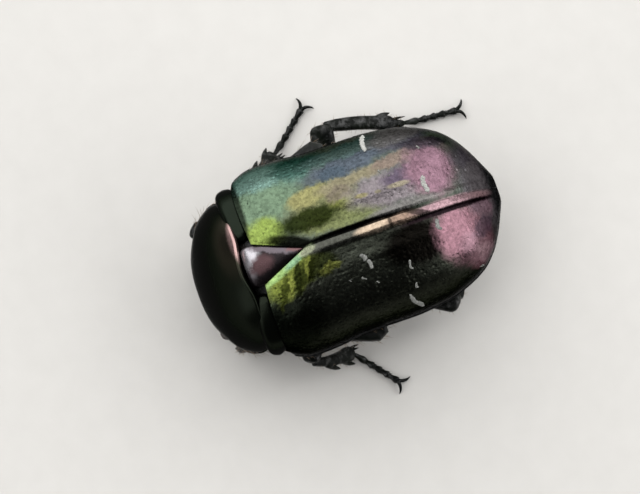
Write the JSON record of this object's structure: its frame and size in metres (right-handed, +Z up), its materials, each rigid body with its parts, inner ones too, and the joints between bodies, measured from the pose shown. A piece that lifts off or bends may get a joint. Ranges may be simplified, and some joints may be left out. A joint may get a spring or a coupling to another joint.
{
  "type": "rose chafer beetle",
  "caption": "Life-size model of a metallic green flower beetle, standing with wing cases closed and head bowed to feed.",
  "frame": {"origin": "middle of the beetle's box on the floor it stands on", "axes": "+Z up, +Y towards the beetle's rear, so its head is at -Y; +X towards its left side"},
  "size_m": [0.0164, 0.0164, 0.009],
  "materials": {
    "cuticle": "glossy black-green cuticle",
    "elytra": "metallic iridescent wing case",
    "scutellum": "polished purple-grey shield",
    "legs": "glossy black",
    "eye": "finely faceted brown-black",
    "antenna": "satin brown-black"
  },
  "bodies": {
    "root": {"head": "cuticle", "eye_left": "eye", "eye_right": "eye", "antenna_left": "antenna", "antenna_right": "antenna", "palp_left": "antenna", "palp_right": "antenna", "lower_lip": "cuticle", "prothorax": "cuticle", "scutellum": "scutellum", "thorax": "cuticle", "elytron_left": "elytra", "elytron_right": "elytra", "abdomen": "cuticle", "pygidium": "cuticle", "coxa_front_left": "legs", "coxa_front_right": "legs", "coxa_mid_left": "legs", "coxa_mid_right": "legs", "coxa_hind_left": "legs", "coxa_hind_right": "legs", "femur_front_left": "legs", "femur_front_right": "legs", "femur_mid_left": "legs", "femur_mid_right": "legs", "femur_hind_left": "legs", "femur_hind_right": "legs", "tibia_front_left": "legs", "tibia_front_right": "legs", "tibia_mid_left": "legs", "tibia_mid_right": "legs", "tibia_hind_left": "legs", "tibia_hind_right": "legs", "tarsus_front_left": "legs", "tarsus_front_right": "legs", "tarsus_mid_left": "legs", "tarsus_mid_right": "legs", "tarsus_hind_left": "legs", "tarsus_hind_right": "legs"}
  },
  "joints": []
}
